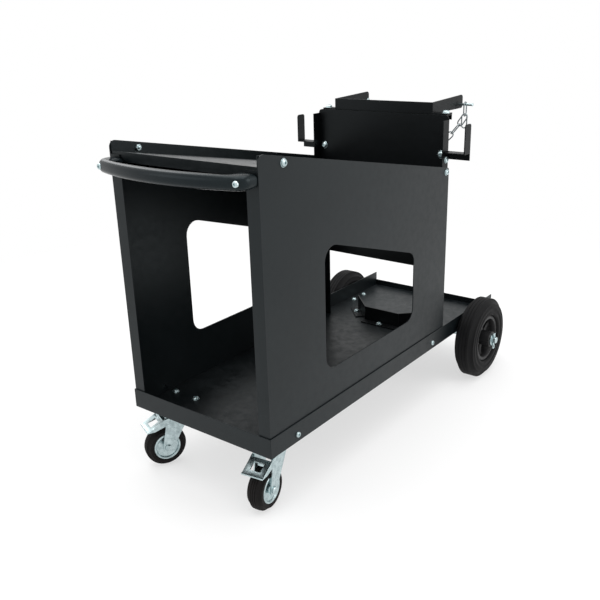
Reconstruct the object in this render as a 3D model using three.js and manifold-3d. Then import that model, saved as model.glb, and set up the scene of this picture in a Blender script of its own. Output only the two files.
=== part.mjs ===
// Welding cart of folded sheet: tray on four wheels, two side panels, a sloping machine shelf,
// an upright with cable hooks, and two cradles with a chain for a gas bottle.
// Millimetres, +Z up. +Y runs from the push handle to the bottle platform, +X is the right-hand side.
import * as THREE from "three";
import { mergeVertices } from "three/addons/utils/BufferGeometryUtils.js";
import Module from "manifold-3d";

const wasm = await Module();
wasm.setup();

// Sheet and fits
const SHEET = 2; // tray, side panels, shelf and upright
const STRAP = 2.5; // cradles, hooks, axle brackets and caster forks
const FIT = 0.3; // between pieces that rest on each other
const RUNNING = 0.4; // between pieces that turn on each other

// Tray. Lengths along the cart are measured from its front face.
const TRAY_WIDTH = 356;
const TRAY_LENGTH = 912;
const TRAY_UNDERSIDE = 133; // height over the ground
const SIDE_RIM = 39;
const REAR_RIM = 17;

// Side panels
const PANEL_END = 644; // rear face
const PANEL_FRONT_HEIGHT = 669; // top edge, carried on to the tray's front face
const PANEL_FALL = THREE.MathUtils.degToRad(10.76); // slope of the top edge down to the rear
const PANEL_FLANGE = 26;
const PANEL_CORNER = 12;
const FRONT_FLANGE_DROP = 26; // from the top edge's front end
const REAR_FLANGE_DROP = 11; // from the top edge's rear end
const WINDOW_FRONT = 173;
const WINDOW_REAR = 498;
const WINDOW_BOTTOM = 236.5;
const WINDOW_FRONT_TOP = 487;
const WINDOW_REAR_TOP = 387;
const WINDOW_CORNER = 28;

// Shelf for the machine
const SHELF_SINK = 20; // below the panels' top edges
const SHELF_LIP = 18;
const SHELF_APRON = 27;

// Upright behind the shelf
const UPRIGHT_DROP = 9.4; // its top, below the panels' front top
const UPRIGHT_BOTTOM = 309;
const UPRIGHT_FLANGE = 25.6;
const UPRIGHT_CORNER = 9;
const UPRIGHT_SEAT = 30; // top flange, turned to the rear
const UPRIGHT_SEAT_LIP = 12;
const UPRIGHT_SEAT_WIDTH = 330;

// Cable hooks
const HOOK_DROP = 93.6; // lower edge of the web, below the upright's top
const HOOK_WEB = 17.5;
const HOOK_INSET = 32; // inner end, inside the tray's edge
const HOOK_REACH = 46; // finger, outside the tray's edge
const HOOK_DEPTH = 26;
const HOOK_FINGER = 79; // height of the finger
const HOOK_CORNER = 6;

// Upper bottle cradle
const CRADLE_WIDTH = 260;
const CRADLE_FRONT = 646;
const CRADLE_LENGTH = 145;
const CRADLE_WALL = 25;
const CRADLE_TIP = 30; // wall height at the wings' rear tips
const CRADLE_FOOT = 25;
const CRADLE_CORNER = 7;

// Lower bottle cradle
const STOP_WIDTH = 98;
const STOP_REAR = 655;
const STOP_WALL = 37;
const STOP_FOOT = 22;
const STOP_WING = 87;
const STOP_SPLAY = THREE.MathUtils.degToRad(45);

// Push handle
const HANDLE_DROP = 42; // middle of the bar, below the panels' front top
const HANDLE_SECTION = 25;
const HANDLE_INSET = 1.7; // ends of the bar, inside the panels' outer faces
const HANDLE_REACH = 62; // grip's front, ahead of the tray
const HANDLE_END_REACH = 30;
const HANDLE_BLOCK = 34;
const HANDLE_GRIP = 24;
const HANDLE_ROUND = 5;
const HANDLE_BOLT_INSET = 13; // from the ends of the bar
const HANDLE_BOLT_SEAT = 29; // bolt head's seat, ahead of the tray

// Screws
const SCREW = 6;
const SCREW_HEAD = 13;
const SCREW_HEAD_HEIGHT = 3.6;
const RIM_SCREW_HEIGHT = 148;
const RIM_SCREW_FRONT = 77;
const RIM_SCREW_REAR = 589;

// Rear wheels and axle
const WHEEL_DIAMETER = 200;
const WHEEL_WIDTH = 50;
const WHEEL_PLACE = 791; // axle, from the tray's front face
const WHEEL_OFFSET = 26.5; // middle of the tyre, outside the tray's edge
const TYRE_SHOULDER_DEPTH = 10;
const TYRE_SHOULDER_WIDTH = 10;
const SHOULDER_STEPS = 3;
const RIM_DIAMETER = 116;
const RIM_WALL = 10;
const RIM_WIDTH = 40;
const RIM_SPOKES = 6;
const SPOKE_WIDTH = 13;
const SPOKE_DEPTH = 12;
const HUB_DIAMETER = 38;
const HUB_LENGTH = 62;
const AXLE = 16;
const AXLE_WASHER = 30;
const AXLE_WASHER_THICK = 2.5;
const AXLE_END = 7; // past the pin
const PIN = 3.2;
const PIN_LENGTH = 27;
const PIN_EYE = 8;
const BRACKET_LENGTH = 68;
const BRACKET_FLANGE = 34;
const BRACKET_EYE = 15; // radius round the axle

// Casters
const CASTER_INSET = 51; // swivel axis, inside the tray's edge
const CASTER_Y = 63;
const CASTER_RIGHT_TURN = THREE.MathUtils.degToRad(8);
const CASTER_LEFT_TURN = THREE.MathUtils.degToRad(-24);
const CASTER_WHEEL = 86;
const CASTER_TREAD = 32;
const CASTER_OFFSET = 32; // axle ahead of the swivel axis
const CASTER_HUB = 56;
const CASTER_HUB_WIDTH = 35;
const CASTER_HUB_DISH = 4; // depth of the pressed face
const CASTER_HUB_RING = 5; // width of the ring under the tyre
const CASTER_HUB_LIP = 1.5;
const CASTER_SHOULDER_DEPTH = 6;
const CASTER_SHOULDER_WIDTH = 9;
const CASTER_AXLE = 8;
const CASTER_BOLT_HEAD = 14;
const CASTER_BOLT_HEAD_HEIGHT = 4;
const CASTER_PLATE = 3;
const CASTER_PLATE_WIDTH = 76;
const CASTER_PLATE_LENGTH = 72;
const CASTER_PLATE_CORNER = 6;
const FORK_HEIGHT = 118; // top of the crown
const FORK_REAR = 22;
const FORK_FRONT = 34;
const FORK_EYE = 11; // radius round the axle
const FORK_EYE_END = THREE.MathUtils.degToRad(333); // where the rear edge leaves the eye
const RACE_INNER = 13;
const RACE_OUTER = 26;
const KING_PIN = 10;
const KING_PIN_HEAD = 20;
const KING_PIN_HEAD_HEIGHT = 7;

// Brake pedals
const PEDAL_PIVOT_Y = -14; // from the swivel axis
const PEDAL_PIVOT_Z = 106;
const PEDAL_GAP = 1.5; // between the plate and the fork
const PEDAL_TOP_Z = 107;
const PEDAL_TIP_Y = -70;
const PEDAL_TIP_Z = 90;
const PEDAL_CHEEK = 13; // height of the cheeks
const PEDAL_WINDOW = 22;
const PEDAL_TONGUE_Z = 92;
const PEDAL_PIN = 5;

// Bottle chain
const PEG_INSET = 6; // from the wings' rear tips
const PEG_RISE = 8.1; // over the cradle's floor
const PEG = 6;
const PEG_HEAD = 12;
const PEG_REACH = 30; // past the cradle's wing
const PEG_KNOB = 1; // rise of its rounded end
const CHAIN_WIRE = 3;
const CHAIN_LENGTH = 34.4; // one link, outside
const CHAIN_BREADTH = 16;
const CHAIN_SLACK = 0.9;
const CHAIN_END_SLACK = 1.4;
const CHAIN_LINKS = 13; // in the hanging span
const CHAIN_HANG = 10; // links' place on the peg, past the wing
const CHAIN_SHIFT = 2; // span and spare link, to either side of the end link's middle

// Values that follow
const half = TRAY_WIDTH / 2;
const trayFloor = TRAY_UNDERSIDE + SHEET;
const rimTop = TRAY_UNDERSIDE + SIDE_RIM;
const panelOut = half - SHEET - FIT;
const panelIn = panelOut - SHEET;
const panelFront = SHEET + FIT;
const panelFoot = trayFloor + FIT;
const innerHalf = panelIn - FIT;
const uprightFront = PANEL_END - 2 * SHEET - FIT;
const uprightBack = uprightFront + SHEET;
const uprightEdge = uprightBack - UPRIGHT_FLANGE;
const shelfFront = panelFront + SHEET + FIT;
const shelfRear = uprightFront - FIT;
const uprightTop = PANEL_FRONT_HEIGHT - UPRIGHT_DROP;
const hookFoot = uprightTop - HOOK_DROP;
const hookInner = half - HOOK_INSET;
const hookOut = half + HOOK_REACH;
const handleHeight = PANEL_FRONT_HEIGHT - HANDLE_DROP;
const handleHalf = panelOut - HANDLE_INSET;
const handleBoltX = handleHalf - HANDLE_BOLT_INSET;
const cradleFloor = uprightTop + FIT;
const wingOut = CRADLE_WIDTH / 2;
const pegY = CRADLE_FRONT + CRADLE_LENGTH - PEG_INSET;
const pegZ = cradleFloor + PEG_RISE;
const wheelCentre = half + WHEEL_OFFSET;
const casterX = half - CASTER_INSET;
const axleZ = WHEEL_DIAMETER / 2;
const bracketTop = TRAY_UNDERSIDE - FIT;
const bracketOut = half - SHEET;
const hubStart = bracketOut + FIT;
const hubEnd = hubStart + HUB_LENGTH;
const washerStart = hubEnd + RUNNING;
const pinX = washerStart + AXLE_WASHER_THICK + FIT + PIN / 2;
const casterAxleZ = CASTER_WHEEL / 2;
const platformZ = TRAY_UNDERSIDE - FIT;
const raceSplit = (FORK_HEIGHT + platformZ - CASTER_PLATE) / 2;
const forkIn = CASTER_HUB_WIDTH / 2 + RUNNING;
const forkOut = forkIn + STRAP;
const pedalIn = forkOut + RUNNING;
const pedalOut = pedalIn + STRAP;
const pedalTopY = -FORK_FRONT - PEDAL_GAP;
const linkReach = (CHAIN_LENGTH - CHAIN_WIRE) / 2;
const chainX = wingOut + CHAIN_HANG;

const AXIS_X = new THREE.Vector3(1, 0, 0);
const AXIS_Y = new THREE.Vector3(0, 1, 0);
const AXIS_Z = new THREE.Vector3(0, 0, 1);

const finishes = {
  darkCoat: { color: 0x42484b, roughness: 0.5, metalness: 0.25 },
  blackCoat: { color: 0x1b1d1f, roughness: 0.5, metalness: 0.25 },
  zinc: { color: 0xc3ccce, roughness: 0.35, metalness: 0.9 },
  rubber: { color: 0x2b2827, roughness: 0.85, metalness: 0 },
  blackPlastic: { color: 0x1d1d1f, roughness: 0.45, metalness: 0 },
};

// Height of the panels' sloping top edge.
function topEdge(y) {
  return PANEL_FRONT_HEIGHT - y * Math.tan(PANEL_FALL);
}

// Makes a closed geometry into a solid that can be joined and cut.
function solid(geometry) {
  geometry.deleteAttribute("normal");
  geometry.deleteAttribute("uv");
  const merged = mergeVertices(geometry, 1e-4);
  const position = merged.attributes.position;
  const corner = [0, 1, 2].map(() => new THREE.Vector3());
  const triangles = [];
  let volume = 0;
  for (let i = 0; i < merged.index.count; i += 3) {
    const triangle = [0, 1, 2].map((k) => merged.index.getX(i + k));
    if (new Set(triangle).size < 3) continue;
    triangle.forEach((vertex, k) => corner[k].fromBufferAttribute(position, vertex));
    volume += corner[0].dot(corner[1].clone().cross(corner[2]));
    triangles.push(triangle);
  }
  const order = volume < 0 ? [0, 2, 1] : [0, 1, 2];
  return new wasm.Manifold(new wasm.Mesh({
    numProp: 3,
    vertProperties: Float32Array.from(position.array),
    triVerts: Uint32Array.from(triangles.flatMap((triangle) => order.map((k) => triangle[k]))),
  }));
}

const join = (...solids) => solids.reduce((whole, next) => whole.add(next));
const cut = (body, ...tools) => tools.reduce((rest, tool) => rest.subtract(tool), body);

// Box between two values on each axis, in either order.
function box(x, y, z) {
  const size = [x, y, z].map(([from, to]) => Math.abs(to - from));
  const middle = [x, y, z].map(([from, to]) => (from + to) / 2);
  return solid(new THREE.BoxGeometry(...size).translate(...middle));
}

// Solid of revolution: the profile's points are radius and distance along the direction.
function turned(profile, direction, at, sides = 24) {
  const points = profile.map(([radius, along]) => new THREE.Vector2(radius, along));
  const geometry = new THREE.LatheGeometry(points, sides);
  geometry.applyQuaternion(new THREE.Quaternion().setFromUnitVectors(AXIS_Y, direction));
  return solid(geometry.translate(...at));
}

function rod(radius, direction, at, length, sides = 24) {
  return turned([[0, 0], [radius, 0], [radius, length], [0, length]], direction, at, sides);
}

// Rod that runs the same distance to both sides of a point, used as a drill.
function drill(radius, direction, at, reach, sides = 16) {
  const start = new THREE.Vector3(...at).addScaledVector(direction, -reach);
  return rod(radius, direction, start.toArray(), 2 * reach, sides);
}

// Closed outline with a radius on each corner, its own or the common one.
function outline(corners, radius = 0, path = new THREE.Shape()) {
  const points = corners.map(([x, y]) => new THREE.Vector2(x, y));
  points.forEach((corner, i) => {
    const own = corners[i][2] ?? radius;
    const toLast = points.at(i - 1).clone().sub(corner).normalize();
    const toNext = points[(i + 1) % points.length].clone().sub(corner).normalize();
    const halfAngle = Math.acos(toLast.dot(toNext)) / 2;
    const inward = toLast.clone().add(toNext).normalize();
    const middle = inward.multiplyScalar(own / Math.sin(halfAngle)).add(corner);
    const reach = own / Math.tan(halfAngle);
    const start = toLast.clone().multiplyScalar(reach).add(corner).sub(middle);
    const end = toNext.clone().multiplyScalar(reach).add(corner).sub(middle);
    if (own > 0 && i > 0 && path.curves.length === 0) path.lineTo(start.x + middle.x, start.y + middle.y);
    if (own > 0) path.absarc(middle.x, middle.y, own, start.angle(), end.angle(), toLast.cross(toNext) > 0);
    else if (i === 0) path.moveTo(corner.x, corner.y);
    else path.lineTo(corner.x, corner.y);
  });
  return path;
}

// Extrudes an outline drawn on the YZ plane between two values of X, in either order.
function slabX(shape, from, to, steps = 3) {
  const geometry = new THREE.ExtrudeGeometry(shape, {
    depth: Math.abs(to - from),
    bevelEnabled: false,
    curveSegments: steps,
  });
  geometry.applyMatrix4(new THREE.Matrix4().makeBasis(AXIS_Y, AXIS_Z, AXIS_X));
  return solid(geometry.translate(Math.min(from, to), 0, 0));
}

// Extrudes an outline drawn on the XZ plane between two values of Y.
function slabY(shape, from, to, steps = 3) {
  const geometry = new THREE.ExtrudeGeometry(shape, {
    depth: to - from,
    bevelEnabled: false,
    curveSegments: steps,
  });
  geometry.applyMatrix4(new THREE.Matrix4().makeBasis(AXIS_X, AXIS_Z, AXIS_Y.clone().negate()));
  return solid(geometry.translate(0, to, 0));
}

// Extrudes an outline drawn on the XY plane between two heights.
function slabZ(shape, from, to, steps = 3) {
  const geometry = new THREE.ExtrudeGeometry(shape, {
    depth: to - from,
    bevelEnabled: false,
    curveSegments: steps,
  });
  return solid(geometry.translate(0, 0, from));
}

// Adds a named piece to a group.
function add(group, name, body, finish) {
  const mesh = body.getMesh();
  const geometry = new THREE.BufferGeometry();
  geometry.setAttribute("position", new THREE.BufferAttribute(mesh.vertProperties, 3));
  geometry.setIndex(new THREE.BufferAttribute(mesh.triVerts, 1));
  geometry.computeVertexNormals();
  const piece = new THREE.Mesh(geometry, new THREE.MeshStandardMaterial(finishes[finish]));
  piece.name = name;
  group.add(piece);
  return piece;
}

const rimScrewPlaces = [["front", RIM_SCREW_FRONT], ["rear", RIM_SCREW_REAR]];
const sides = [["left", -1], ["right", 1]];

function rimScrewBores(side) {
  const bore = SCREW / 2 + FIT;
  return rimScrewPlaces.map(([, y]) => drill(bore, AXIS_X, [side * half, y, RIM_SCREW_HEIGHT], 4 * SHEET));
}

// Tray: one folded sheet with a low rear rim.
function baseTray() {
  const along = [0, TRAY_LENGTH];
  const rimHeights = [TRAY_UNDERSIDE, rimTop];
  const pan = join(
    box([-half, half], along, [TRAY_UNDERSIDE, trayFloor]),
    box([-half, -half + SHEET], along, rimHeights),
    box([half - SHEET, half], along, rimHeights),
    box([-half, half], [0, SHEET], rimHeights),
    box([-half, half], [TRAY_LENGTH - SHEET, TRAY_LENGTH], [TRAY_UNDERSIDE, TRAY_UNDERSIDE + REAR_RIM]),
  );
  return cut(pan, ...rimScrewBores(-1), ...rimScrewBores(1));
}

function handleBore(side, radius) {
  return drill(radius, AXIS_Y, [side * handleBoltX, 0, handleHeight], HANDLE_REACH);
}

// Side panel with a window and a flange turned inward at both ends.
function sidePanel(side) {
  const web = outline([
    [panelFront, panelFoot],
    [PANEL_END, panelFoot],
    [PANEL_END, topEdge(PANEL_END), PANEL_CORNER / 2],
    [panelFront, topEdge(panelFront), PANEL_CORNER],
  ]);
  web.holes.push(outline([
    [WINDOW_FRONT, WINDOW_BOTTOM],
    [WINDOW_REAR, WINDOW_BOTTOM],
    [WINDOW_REAR, WINDOW_REAR_TOP],
    [WINDOW_FRONT, WINDOW_FRONT_TOP],
  ], WINDOW_CORNER, new THREE.Path()));
  const flange = [side * (panelOut - PANEL_FLANGE), side * panelOut];
  const rearTop = topEdge(PANEL_END) - REAR_FLANGE_DROP;
  const folded = join(
    slabX(web, side * panelIn, side * panelOut),
    box(flange, [panelFront, panelFront + SHEET], [panelFoot, PANEL_FRONT_HEIGHT - FRONT_FLANGE_DROP]),
    box(flange, [PANEL_END - SHEET, PANEL_END], [panelFoot, rearTop]),
  );
  return cut(folded, ...rimScrewBores(side), handleBore(side, SCREW / 2 + FIT));
}

// Shelf that follows the panels' slope, with side lips and an apron at the front and the rear.
function topShelf() {
  const level = (y) => topEdge(y) - SHELF_SINK;
  const strip = (above, below) => outline([
    [shelfFront, level(shelfFront) + below],
    [shelfRear, level(shelfRear) + below],
    [shelfRear, level(shelfRear) + above],
    [shelfFront, level(shelfFront) + above],
  ]);
  const lip = strip(SHELF_LIP, -SHEET);
  const apron = (y) => [level(y) - SHELF_APRON, level(y) - SHEET / 2];
  const width = [-innerHalf, innerHalf];
  const pan = join(
    slabX(strip(0, -SHEET), ...width),
    slabX(lip, -innerHalf, -innerHalf + SHEET),
    slabX(lip, innerHalf - SHEET, innerHalf),
    box(width, [shelfFront, shelfFront + SHEET], apron(shelfFront)),
    box(width, [shelfRear - SHEET, shelfRear], apron(shelfRear)),
  );
  const notchIn = innerHalf - SHEET - FIT;
  const heights = [UPRIGHT_BOTTOM, uprightTop];
  const notchAlong = [uprightEdge - FIT, PANEL_END];
  const notches = sides.map(([, side]) => box([side * notchIn, side * half], notchAlong, heights));
  return cut(pan, ...notches, handleBore(-1, SCREW / 2 + FIT), handleBore(1, SCREW / 2 + FIT));
}

// Upright: a pan nested between the panels, with a seat for the upper cradle turned to the rear.
function rearUpright() {
  const web = outline([
    [-innerHalf, UPRIGHT_BOTTOM],
    [innerHalf, UPRIGHT_BOTTOM],
    [innerHalf, uprightTop, UPRIGHT_CORNER],
    [-innerHalf, uprightTop, UPRIGHT_CORNER],
  ]);
  const seat = [-UPRIGHT_SEAT_WIDTH / 2, UPRIGHT_SEAT_WIDTH / 2];
  const seatEnd = uprightFront + UPRIGHT_SEAT;
  const flangeTop = uprightTop - UPRIGHT_CORNER;
  const flanges = sides.map(([, side]) => box(
    [side * (innerHalf - SHEET), side * innerHalf],
    [uprightEdge, uprightBack],
    [UPRIGHT_BOTTOM, flangeTop],
  ));
  return join(
    slabY(web, uprightFront, uprightBack),
    ...flanges,
    box(seat, [uprightFront, seatEnd], [uprightTop - SHEET, uprightTop]),
    box(seat, [seatEnd - SHEET, seatEnd], [uprightTop - UPRIGHT_SEAT_LIP, uprightTop]),
  );
}

// Hook for cables: a web behind the upright, a flange turned forward and a finger bent up at its end.
function cableHook(side) {
  const webBack = uprightBack + FIT + STRAP;
  const front = webBack - HOOK_DEPTH;
  const flangeTop = hookFoot + HOOK_WEB;
  const finger = outline([
    [front, flangeTop - STRAP],
    [webBack, flangeTop - STRAP],
    [webBack, hookFoot + HOOK_FINGER, HOOK_CORNER],
    [front, hookFoot + HOOK_FINGER, HOOK_CORNER],
  ]);
  return join(
    box([side * hookInner, side * hookOut], [webBack - STRAP, webBack], [hookFoot, flangeTop]),
    box([side * half, side * hookOut], [front, webBack], [flangeTop - STRAP, flangeTop]),
    slabX(finger, side * (hookOut - STRAP), side * hookOut),
  );
}

function pegBore(side, radius) {
  return drill(radius, AXIS_X, [side * wingOut, pegY, pegZ], 3 * STRAP);
}

// Upper cradle: a wall, two wings that reach round the bottle, and a foot on the upright's seat.
function upperCradle() {
  const rear = CRADLE_FRONT + CRADLE_LENGTH;
  const wing = outline([
    [CRADLE_FRONT, cradleFloor],
    [rear, cradleFloor, CRADLE_CORNER],
    [rear, cradleFloor + CRADLE_TIP, CRADLE_CORNER],
    [CRADLE_FRONT, cradleFloor + CRADLE_WALL],
  ]);
  const wings = sides.map(([, side]) => cut(
    slabX(wing, side * (wingOut - STRAP), side * wingOut),
    pegBore(side, PEG / 2 + FIT),
  ));
  const footHalf = UPRIGHT_SEAT_WIDTH / 2;
  const wallAlong = [CRADLE_FRONT, CRADLE_FRONT + STRAP];
  const footAlong = [CRADLE_FRONT, CRADLE_FRONT + CRADLE_FOOT];
  return join(
    box([-wingOut, wingOut], wallAlong, [cradleFloor, cradleFloor + CRADLE_WALL]),
    box([-footHalf, footHalf], footAlong, [cradleFloor, cradleFloor + STRAP]),
    ...wings,
  );
}

// Lower cradle: a wall with two splayed wings on the tray floor, all with feet turned forward.
function lowerCradle() {
  const floor = trayFloor + FIT;
  const wallHalf = STOP_WIDTH / 2;
  const pieces = [
    box([-wallHalf, wallHalf], [STOP_REAR - STRAP, STOP_REAR], [floor, floor + STOP_WALL]),
    box([-wallHalf, wallHalf], [STOP_REAR - STOP_FOOT, STOP_REAR], [floor, floor + STRAP]),
  ];
  for (const [, side] of sides) {
    const wall = new THREE.BoxGeometry(STOP_WING, STRAP, STOP_WALL);
    wall.translate(STOP_WING / 2, -STRAP / 2, STOP_WALL / 2);
    const foot = new THREE.BoxGeometry(STOP_WING - STOP_FOOT, STOP_FOOT, STRAP);
    foot.translate((STOP_WING + STOP_FOOT) / 2, -STOP_FOOT / 2, STRAP / 2);
    for (const plate of [wall, foot]) {
      plate.rotateZ(STOP_SPLAY);
      plate.scale(side, 1, 1);
      pieces.push(solid(plate.translate(side * (wallHalf - STRAP / 2), STOP_REAR, floor)));
    }
  }
  return join(...pieces);
}

// Handle: a bowed grip between two blocks that sit on the panels' front flanges.
function pushHandle() {
  const seat = panelFront - FIT;
  const blockIn = handleHalf - HANDLE_BLOCK;
  const gripBack = HANDLE_REACH - HANDLE_GRIP;
  const gripEnd = blockIn - HANDLE_BLOCK / 2;
  const gripEndBack = HANDLE_END_REACH - HANDLE_ROUND;
  const plan = new THREE.Shape();
  plan.moveTo(handleHalf, seat);
  plan.lineTo(blockIn, seat);
  plan.lineTo(blockIn, -HANDLE_ROUND);
  plan.quadraticCurveTo(blockIn, -gripEndBack, gripEnd, -gripEndBack);
  plan.quadraticCurveTo(0, gripEndBack - 2 * gripBack, -gripEnd, -gripEndBack);
  plan.quadraticCurveTo(-blockIn, -gripEndBack, -blockIn, -HANDLE_ROUND);
  plan.lineTo(-blockIn, seat);
  plan.lineTo(-handleHalf, seat);
  plan.lineTo(-handleHalf, -HANDLE_END_REACH);
  plan.quadraticCurveTo(0, HANDLE_END_REACH - 2 * HANDLE_REACH, handleHalf, -HANDLE_END_REACH);
  const geometry = new THREE.ExtrudeGeometry(plan, {
    depth: HANDLE_SECTION - 2 * HANDLE_ROUND,
    bevelThickness: HANDLE_ROUND,
    bevelSize: HANDLE_ROUND,
    bevelOffset: -HANDLE_ROUND,
    bevelSegments: 2,
    curveSegments: 8,
  });
  const bow = solid(geometry.translate(0, 0, handleHeight + HANDLE_ROUND - HANDLE_SECTION / 2));
  const sinks = sides.map(([, side]) => rod(
    SCREW_HEAD / 2 + FIT,
    AXIS_Y,
    [side * handleBoltX, -HANDLE_REACH, handleHeight],
    HANDLE_REACH - HANDLE_BOLT_SEAT,
  ));
  return cut(bow, ...sinks, handleBore(-1, SCREW / 2 + FIT), handleBore(1, SCREW / 2 + FIT));
}

// Button-head screw: its head seats at a point and its shank runs along the direction.
function buttonScrew(direction, seat, length) {
  const shank = SCREW / 2;
  const head = SCREW_HEAD / 2;
  return turned([
    [0, -SCREW_HEAD_HEIGHT],
    [head / 2, -SCREW_HEAD_HEIGHT],
    [head, -SCREW_HEAD_HEIGHT / 3],
    [head, -FIT],
    [shank, -FIT],
    [shank, length],
    [0, length],
  ], direction, seat, 16);
}

// Axle bracket: an eye plate beside the tray's edge, folded under the tray floor.
function axleBracket(side) {
  const front = WHEEL_PLACE - BRACKET_LENGTH / 2;
  const rear = WHEEL_PLACE + BRACKET_LENGTH / 2;
  const low = axleZ - BRACKET_EYE;
  const eye = outline([
    [front, bracketTop],
    [WHEEL_PLACE - BRACKET_EYE, low, BRACKET_EYE / 2],
    [WHEEL_PLACE + BRACKET_EYE, low, BRACKET_EYE / 2],
    [rear, bracketTop],
  ]);
  const flange = [side * (bracketOut - BRACKET_FLANGE), side * bracketOut];
  const folded = join(
    slabX(eye, side * (bracketOut - STRAP), side * bracketOut),
    box(flange, [front, rear], [bracketTop - STRAP, bracketTop]),
  );
  return cut(folded, drill(AXLE / 2 + FIT, AXIS_X, [side * bracketOut, WHEEL_PLACE, axleZ], 2 * STRAP, 24));
}

function rearAxle() {
  const end = pinX + AXLE_END;
  const bar = rod(AXLE / 2, AXIS_X, [-end, WHEEL_PLACE, axleZ], 2 * end);
  const pinHoles = [-pinX, pinX].map((x) => drill(PIN / 2 + FIT, AXIS_Z, [x, WHEEL_PLACE, axleZ], AXLE, 8));
  return cut(bar, ...pinHoles);
}

// Tyre: its shoulders are quarter ellipses between the side walls and the tread.
function tyre(outer, inner, edge, seat, shoulderDepth, shoulderWidth, around) {
  const shoulder = Array.from({ length: SHOULDER_STEPS + 1 }, (_, i) => {
    const angle = (i / SHOULDER_STEPS) * (Math.PI / 2);
    const radius = outer - shoulderDepth * (1 - Math.sin(angle));
    return [radius, edge - shoulderWidth * (1 - Math.cos(angle))];
  });
  const front = [[inner, seat], [inner + (edge - seat), edge], ...shoulder];
  const back = front.map(([radius, along]) => [radius, -along]).reverse();
  return turned([...front, ...back, front[0]], AXIS_X, [0, 0, 0], around);
}

function rearTyre() {
  return tyre(
    WHEEL_DIAMETER / 2,
    RIM_DIAMETER / 2 + FIT,
    WHEEL_WIDTH / 2,
    RIM_WIDTH / 2,
    TYRE_SHOULDER_DEPTH,
    TYRE_SHOULDER_WIDTH,
    36,
  );
}

// Rear rim: a ring and a hub joined by spokes.
function rearRim(side) {
  const outer = RIM_DIAMETER / 2;
  const inner = outer - RIM_WALL;
  const edge = RIM_WIDTH / 2;
  const hub = HUB_DIAMETER / 2;
  const hubInner = side * (hubStart - wheelCentre);
  const hubOuter = side * (hubEnd - wheelCentre);
  const ring = ringDisc(outer, inner, RIM_WIDTH, AXIS_X, [-edge, 0, 0], 36);
  const barrel = rod(hub, AXIS_X, [Math.min(hubInner, hubOuter), 0, 0], HUB_LENGTH);
  const reach = outer - RIM_WALL / 2;
  const spokes = Array.from({ length: RIM_SPOKES }, (_, i) => {
    const bar = new THREE.BoxGeometry(SPOKE_DEPTH, SPOKE_WIDTH, reach);
    bar.translate(0, 0, reach / 2);
    return solid(bar.rotateX((i * 2 * Math.PI) / RIM_SPOKES));
  });
  return cut(join(ring, barrel, ...spokes), drill(AXLE / 2 + RUNNING, AXIS_X, [0, 0, 0], HUB_LENGTH, 24));
}

function ringDisc(outerRadius, innerRadius, thickness, direction, at, around = 24) {
  return turned([
    [innerRadius, 0],
    [outerRadius, 0],
    [outerRadius, thickness],
    [innerRadius, thickness],
    [innerRadius, 0],
  ], direction, at, around);
}

// Split pin: a wire through the axle with its eye below.
function splitPin(x) {
  const foot = axleZ - PIN_LENGTH / 2;
  const eye = new THREE.TorusGeometry(PIN_EYE / 2, PIN / 2, 6, 12);
  eye.rotateY(Math.PI / 2);
  eye.translate(x, WHEEL_PLACE, foot - PIN_EYE / 2);
  return join(rod(PIN / 2, AXIS_Z, [x, WHEEL_PLACE, foot], PIN_LENGTH, 8), solid(eye));
}

// Caster parts, around the swivel axis with the wheel towards the front.
function casterPlate() {
  const [x, y] = [CASTER_PLATE_WIDTH / 2, CASTER_PLATE_LENGTH / 2];
  const corners = [[-x, -y], [x, -y], [x, y], [-x, y]];
  const plate = slabZ(outline(corners, CASTER_PLATE_CORNER), platformZ - CASTER_PLATE, platformZ);
  const race = rod(RACE_OUTER, AXIS_Z, [0, 0, raceSplit], platformZ - CASTER_PLATE / 2 - raceSplit);
  const socket = rod(RACE_INNER, AXIS_Z, [0, 0, 0], platformZ - CASTER_PLATE);
  const pinHole = drill(KING_PIN / 2 + FIT, AXIS_Z, [0, 0, platformZ], FORK_HEIGHT);
  return cut(join(plate, cut(race, socket)), pinHole);
}

function kingPin() {
  const crownUnder = FORK_HEIGHT - STRAP - RUNNING;
  return turned([
    [0, crownUnder - KING_PIN_HEAD_HEIGHT],
    [KING_PIN_HEAD / 2, crownUnder - KING_PIN_HEAD_HEIGHT],
    [KING_PIN_HEAD / 2, crownUnder],
    [KING_PIN / 2, crownUnder],
    [KING_PIN / 2, platformZ],
    [0, platformZ],
  ], AXIS_Z, [0, 0, 0], 16);
}

function casterFork() {
  const leg = new THREE.Shape();
  const kneeZ = casterAxleZ + CASTER_WHEEL / 2 + STRAP;
  leg.moveTo(FORK_REAR, FORK_HEIGHT);
  leg.lineTo(-FORK_FRONT, FORK_HEIGHT);
  leg.lineTo(-FORK_FRONT, kneeZ);
  leg.absarc(-CASTER_OFFSET, casterAxleZ, FORK_EYE, Math.PI, FORK_EYE_END, false);
  leg.lineTo(FORK_REAR, kneeZ + FORK_REAR);
  const crown = [-FORK_FRONT, FORK_REAR];
  const legs = [-1, 1].map((side) => slabX(leg, side * forkIn, side * forkOut));
  const raceFoot = FORK_HEIGHT - STRAP / 2;
  const lowerRace = rod(RACE_OUTER - 2 * RUNNING, AXIS_Z, [0, 0, raceFoot], raceSplit - RUNNING - raceFoot);
  const crownPlate = box([-forkOut, forkOut], crown, [FORK_HEIGHT - STRAP, FORK_HEIGHT]);
  const body = join(crownPlate, ...legs, lowerRace);
  const pivot = [0, PEDAL_PIVOT_Y, PEDAL_PIVOT_Z];
  return cut(
    body,
    drill(KING_PIN / 2 + RUNNING, AXIS_Z, [0, 0, FORK_HEIGHT], CASTER_PLATE_WIDTH / 2),
    drill(CASTER_AXLE / 2 + FIT, AXIS_X, [0, -CASTER_OFFSET, casterAxleZ], CASTER_PLATE_WIDTH / 2),
    drill(PEDAL_PIN / 2 + RUNNING, AXIS_X, pivot, CASTER_PLATE_WIDTH / 2),
  );
}

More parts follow.
